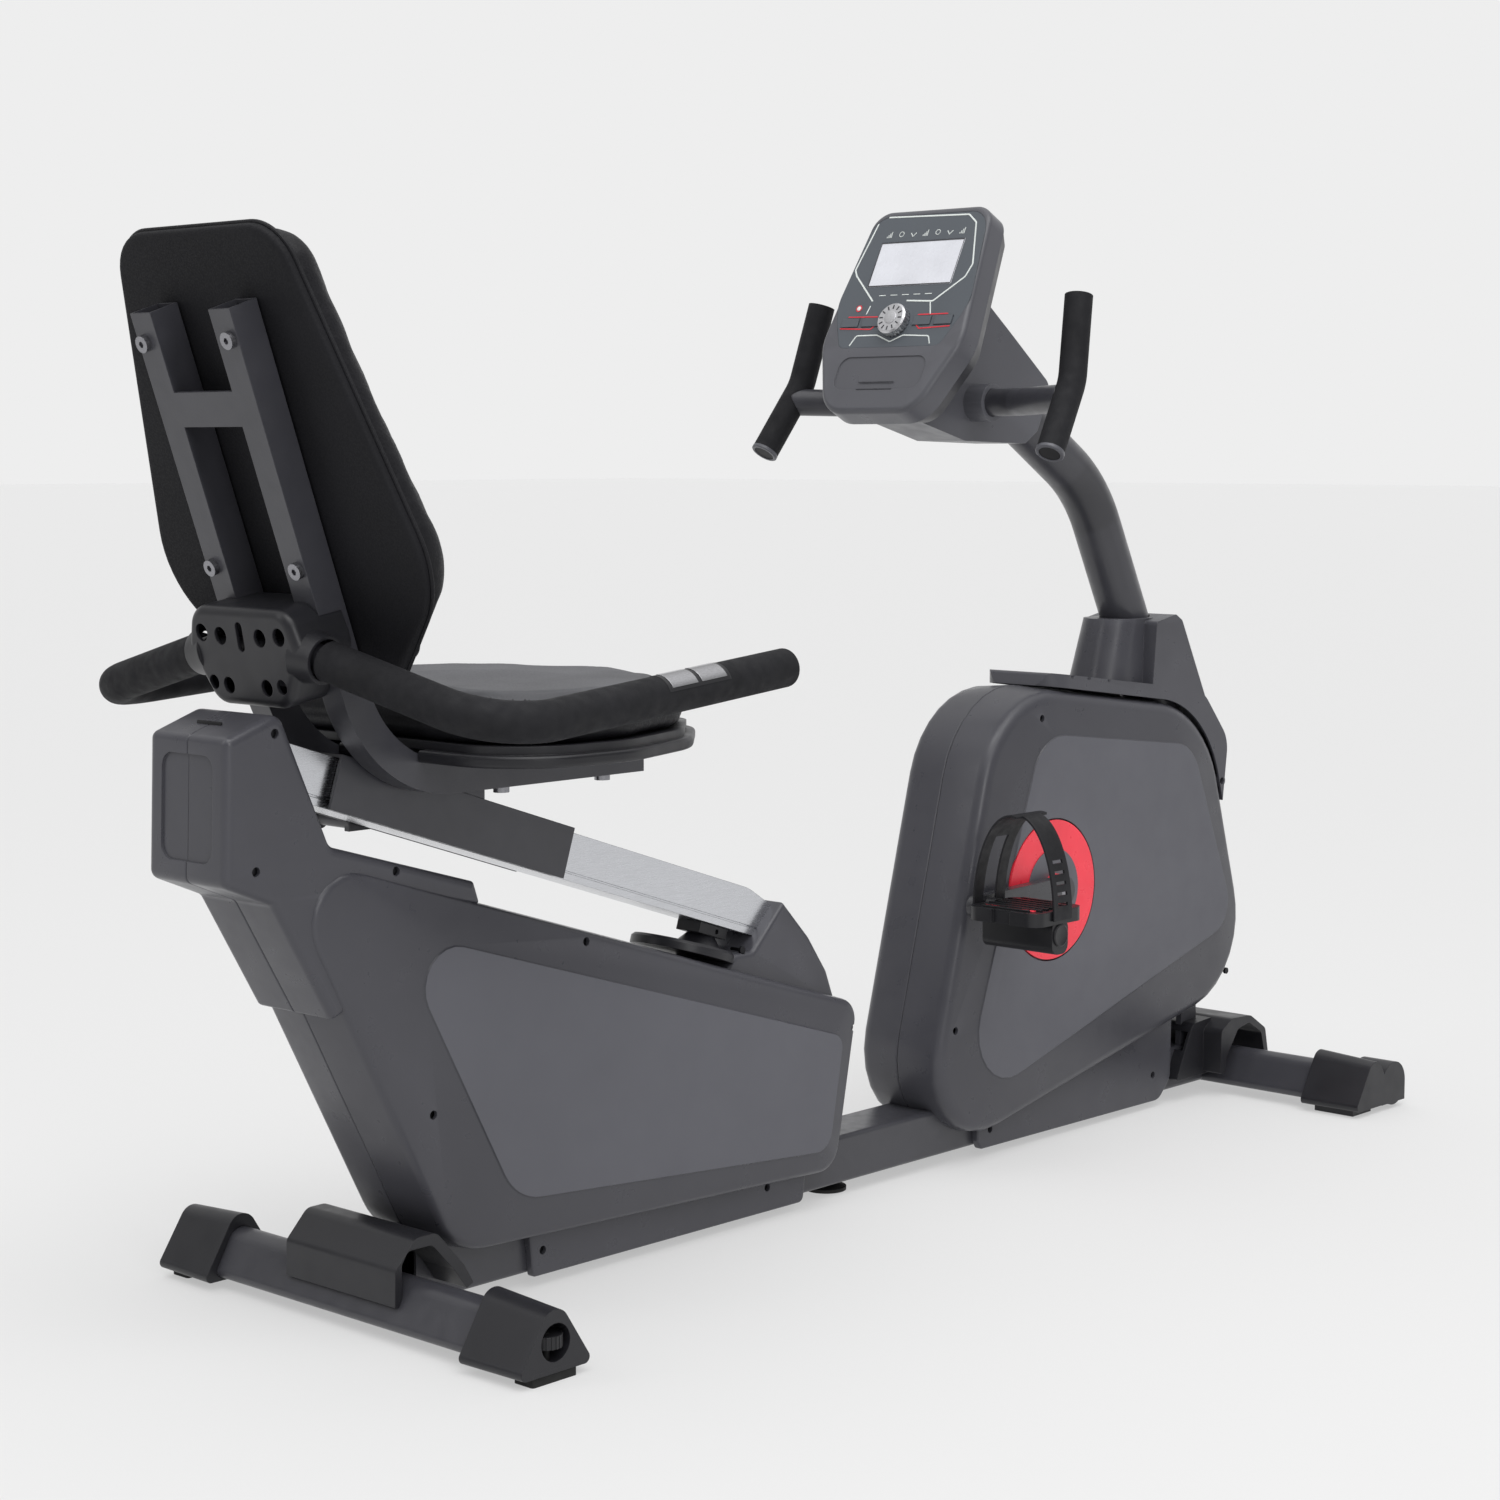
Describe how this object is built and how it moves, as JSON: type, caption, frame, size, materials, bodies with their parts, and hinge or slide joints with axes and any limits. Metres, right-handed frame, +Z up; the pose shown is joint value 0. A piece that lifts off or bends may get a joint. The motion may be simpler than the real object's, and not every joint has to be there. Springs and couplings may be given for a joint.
{
  "type": "recumbent exercise bike",
  "caption": "Recumbent exercise bike: sliding seat with backrest on an inclined rail, pedal drive in a closed housing, bent mast with console and grips, levelling feet, transport wheels.",
  "frame": {"origin": "centre of the overall footprint on the floor", "axes": "+X forward (the way the rider faces, towards the pedals), +Y left, +Z up"},
  "size_m": [1.7177, 0.6314, 1.1222],
  "materials": {
    "frame_black": "satin powder coat, near black",
    "cap_plastic": "moulded, dark charcoal",
    "wheel_plastic": "moulded, black",
    "rubber_feet": "matte",
    "cover_plastic": "textured moulding, graphite grey",
    "rail_aluminium": "satin anodised extrusion",
    "steel": "turned",
    "steel_dark": "blackened",
    "disc_red": "bright red moulding",
    "crank_steel": "dark forged and painted",
    "pedal_plastic": "moulded with tread",
    "strap_rubber": "moulded",
    "iron": "machined rim",
    "seat_cover": "grained vinyl over foam, stitched",
    "board_plastic": "covered board",
    "foam": "closed-cell foam",
    "sensor_chrome": "polished plate",
    "console_plastic": "satin moulding, mid grey",
    "console_dark": "satin moulding, dark grey",
    "faceplate": "printed membrane, slate",
    "lens": "clear window over a pale display",
    "knob_silver": "silver moulding"
  },
  "bodies": {
    "frame": {"main_rail": "frame_black", "rear_stabilizer": "frame_black", "front_stabilizer": "frame_black", "rear_cap_right": "cap_plastic", "rear_cap_left": "cap_plastic", "front_caps": "cap_plastic", "rear_bracket_cover": "cap_plastic", "front_bracket_cover": "cap_plastic", "rear_cover_right": "cover_plastic", "rear_cover_left": "cover_plastic", "tower_cover_right": "cover_plastic", "tower_cover_left": "cover_plastic", "seat_rail": "rail_aluminium", "rail_support": "cap_plastic", "frame_core": "frame_black", "mast": "frame_black", "drive_cover_right": "cover_plastic", "drive_cover_left": "cover_plastic", "drive_top_cover": "cover_plastic", "drive_belt": "strap_rubber", "console_front_shell": "console_plastic", "console_back_shell": "console_dark", "console_faceplate": "faceplate", "console_lens": "lens", "console_mount": "console_plastic", "console_handlebar": "frame_black", "console_grips": "foam", "cover_screws": "steel_dark"},
    "crank": {"crank_axle": "steel", "crank_discs": "disc_red", "crank_arm_right": "crank_steel", "crank_arm_left": "crank_steel"},
    "right_pedal": {"pedal_right": "pedal_plastic", "pedal_strap_right": "strap_rubber"},
    "left_pedal": {"pedal_left": "pedal_plastic", "pedal_strap_left": "strap_rubber"},
    "flywheel_wheel": {"flywheel": "iron"},
    "seat_carriage": {"carriage_sleeve": "frame_black", "seat_frame": "frame_black", "carriage_bolts": "steel", "seat_base": "cap_plastic", "seat_cushion": "seat_cover", "backrest_board": "board_plastic", "backrest_cushion": "seat_cover", "rear_handlebar": "frame_black", "rear_grips": "foam", "pulse_sensors": "sensor_chrome", "hub_cover": "cap_plastic"},
    "seat_lever": {"lock_lever": "frame_black"},
    "right_thumbwheel": {"thumbwheel_right": "wheel_plastic"},
    "left_thumbwheel": {"thumbwheel_left": "wheel_plastic"},
    "right_pad": {"foot_pad_right": "rubber_feet"},
    "left_pad": {"foot_pad_left": "rubber_feet"},
    "middle_foot": {"mid_foot": "rubber_feet"},
    "rollers": {"transport_wheels": "wheel_plastic"},
    "knob": {"console_knob": "knob_silver"},
    "key_1": {"button_1": "faceplate"},
    "key_2": {"button_2": "faceplate"},
    "key_3": {"button_3": "faceplate"},
    "key_4": {"button_4": "faceplate"}
  },
  "joints": [
    {"name": "flywheel_spin", "type": "hinge", "parent": "frame", "child": "flywheel_wheel", "pos_m": [0.625, 0, 0.3], "axis": [0, 1, 0], "continuous": true},
    {"name": "crank_spin", "type": "hinge", "parent": "frame", "child": "crank", "pos_m": [0.37, 0, 0.316], "axis": [0, 1, 0], "continuous": true},
    {"name": "right_pedal_spin", "type": "hinge", "parent": "crank", "child": "right_pedal", "pos_m": [0.205, -0.149, 0.316], "axis": [0, 1, 0], "continuous": true},
    {"name": "left_pedal_spin", "type": "hinge", "parent": "crank", "child": "left_pedal", "pos_m": [0.535, 0.149, 0.316], "axis": [0, 1, 0], "continuous": true},
    {"name": "seat_slide", "type": "slide", "parent": "frame", "child": "seat_carriage", "axis": [0.9502, 0, -0.3115], "range_m": [0, 0.27]},
    {"name": "seat_lever_lift", "type": "hinge", "parent": "seat_carriage", "child": "seat_lever", "pos_m": [-0.58, 0.041, 0.489], "axis": [0, 1, 0], "range_deg": [0, 18], "stiffness_Nm_per_rad": 0.5, "springref_deg": -20.05},
    {"name": "right_thumbwheel_turn", "type": "hinge", "parent": "frame", "child": "right_thumbwheel", "pos_m": [-0.658, -0.258, 0.037], "axis": [0, 0, 1], "range_deg": [0, 2410]},
    {"name": "right_pad_slide", "type": "slide", "parent": "frame", "child": "right_pad", "axis": [0, 0, 1], "range_m": [-0.01, 0]},
    {"name": "left_thumbwheel_turn", "type": "hinge", "parent": "frame", "child": "left_thumbwheel", "pos_m": [-0.658, 0.258, 0.037], "axis": [0, 0, 1], "range_deg": [0, 2410]},
    {"name": "left_pad_slide", "type": "slide", "parent": "frame", "child": "left_pad", "axis": [0, 0, 1], "range_m": [-0.01, 0]},
    {"name": "middle_foot_slide", "type": "slide", "parent": "frame", "child": "middle_foot", "axis": [0, 0, 1], "range_m": [-0.01, 0]},
    {"name": "roller_spin", "type": "hinge", "parent": "frame", "child": "rollers", "pos_m": [0.832, 0, 0.033], "axis": [0, 1, 0], "continuous": true},
    {"name": "knob_turn", "type": "hinge", "parent": "frame", "child": "knob", "pos_m": [0.14686, 0, 0.99083], "axis": [-0.8894, 0, 0.4571], "continuous": true},
    {"name": "key_1_press", "type": "slide", "parent": "frame", "child": "key_1", "axis": [0.8894, 0, -0.4571], "range_m": [0, 0.0011], "stiffness_N_per_m": 300},
    {"name": "key_2_press", "type": "slide", "parent": "frame", "child": "key_2", "axis": [0.8894, 0, -0.4571], "range_m": [0, 0.0011], "stiffness_N_per_m": 300},
    {"name": "key_3_press", "type": "slide", "parent": "frame", "child": "key_3", "axis": [0.8894, 0, -0.4571], "range_m": [0, 0.0011], "stiffness_N_per_m": 300},
    {"name": "key_4_press", "type": "slide", "parent": "frame", "child": "key_4", "axis": [0.8894, 0, -0.4571], "range_m": [0, 0.0011], "stiffness_N_per_m": 300}
  ],
  "couplings": [
    {"joint": "crank_spin", "follows": "flywheel_spin", "ratio": 0.2},
    {"joint": "right_thumbwheel_turn", "follows": "right_pad_slide", "rad_per_m": -4188.8},
    {"joint": "left_thumbwheel_turn", "follows": "left_pad_slide", "rad_per_m": -4188.8}
  ]
}
